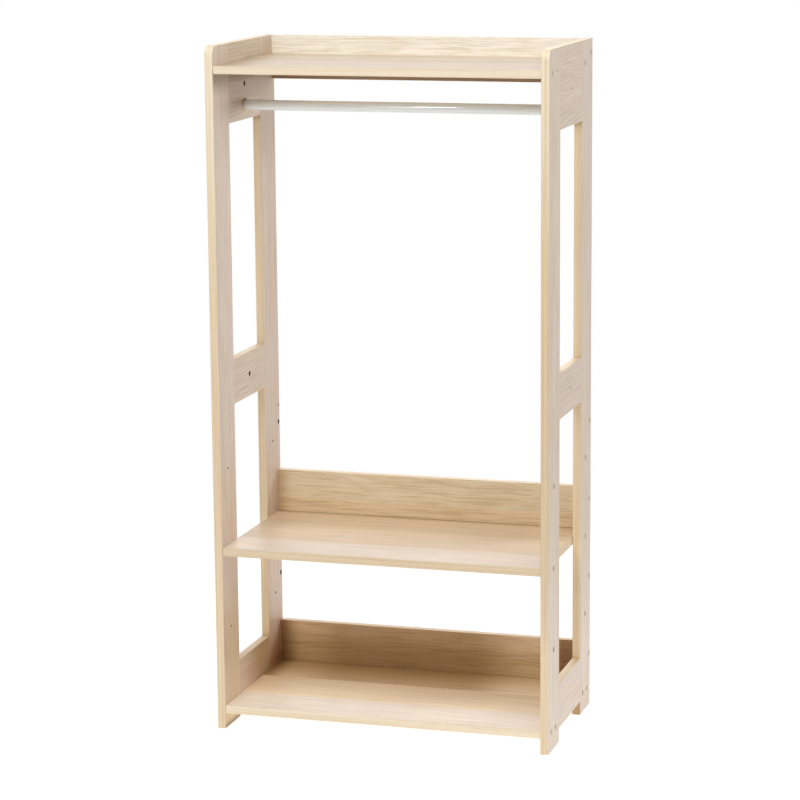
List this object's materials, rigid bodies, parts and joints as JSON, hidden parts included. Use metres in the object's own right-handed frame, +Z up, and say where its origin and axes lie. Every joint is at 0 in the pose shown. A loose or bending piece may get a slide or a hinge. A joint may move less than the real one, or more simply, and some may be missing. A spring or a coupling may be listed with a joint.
{
  "type": "clothes rack",
  "caption": "Free-standing wooden clothes rack: two ladder-shaped side frames, shelves with back boards, a height-adjustable middle shelf and a round hanging pipe.",
  "frame": {"origin": "on the floor, under the middle of the rack's width and depth", "axes": "+Z up, +X to the right as seen from the front, -Y towards the person who uses it"},
  "size_m": [0.63, 0.335, 1.26],
  "materials": {
    "oak_laminate": "satin wood-grain laminate",
    "beech": "raw",
    "zinc": "zinc-plated",
    "ivory_pipe": "semi-gloss"
  },
  "bodies": {
    "root": {"left_front_post": "oak_laminate", "left_rear_post": "oak_laminate", "left_top_rail": "oak_laminate", "left_middle_rail": "oak_laminate", "left_bottom_rail": "oak_laminate", "right_front_post": "oak_laminate", "right_rear_post": "oak_laminate", "right_top_rail": "oak_laminate", "right_middle_rail": "oak_laminate", "right_bottom_rail": "oak_laminate", "top_shelf": "oak_laminate", "middle_shelf": "oak_laminate", "bottom_shelf": "oak_laminate", "top_back_board": "oak_laminate", "middle_back_board": "oak_laminate", "bottom_back_board": "oak_laminate", "hanging_pipe": "ivory_pipe", "left_top_shelf_front_screw": "zinc", "left_top_shelf_rear_screw": "zinc", "left_middle_shelf_front_screw": "zinc", "left_middle_shelf_rear_screw": "zinc", "left_bottom_shelf_front_outer_screw": "zinc", "left_bottom_shelf_front_inner_screw": "zinc", "left_bottom_shelf_rear_inner_screw": "zinc", "left_bottom_shelf_rear_outer_screw": "zinc", "left_top_back_board_screw": "zinc", "left_middle_back_board_screw": "zinc", "left_bottom_back_board_screw": "zinc", "right_top_shelf_front_screw": "zinc", "right_top_shelf_rear_screw": "zinc", "right_middle_shelf_front_screw": "zinc", "right_middle_shelf_rear_screw": "zinc", "right_bottom_shelf_front_outer_screw": "zinc", "right_bottom_shelf_front_inner_screw": "zinc", "right_bottom_shelf_rear_inner_screw": "zinc", "right_bottom_shelf_rear_outer_screw": "zinc", "right_top_back_board_screw": "zinc", "right_middle_back_board_screw": "zinc", "right_bottom_back_board_screw": "zinc", "left_top_back_board_dowel": "beech", "left_middle_back_board_dowel": "beech", "left_bottom_back_board_dowel": "beech", "right_top_back_board_dowel": "beech", "right_middle_back_board_dowel": "beech", "right_bottom_back_board_dowel": "beech"}
  },
  "joints": []
}
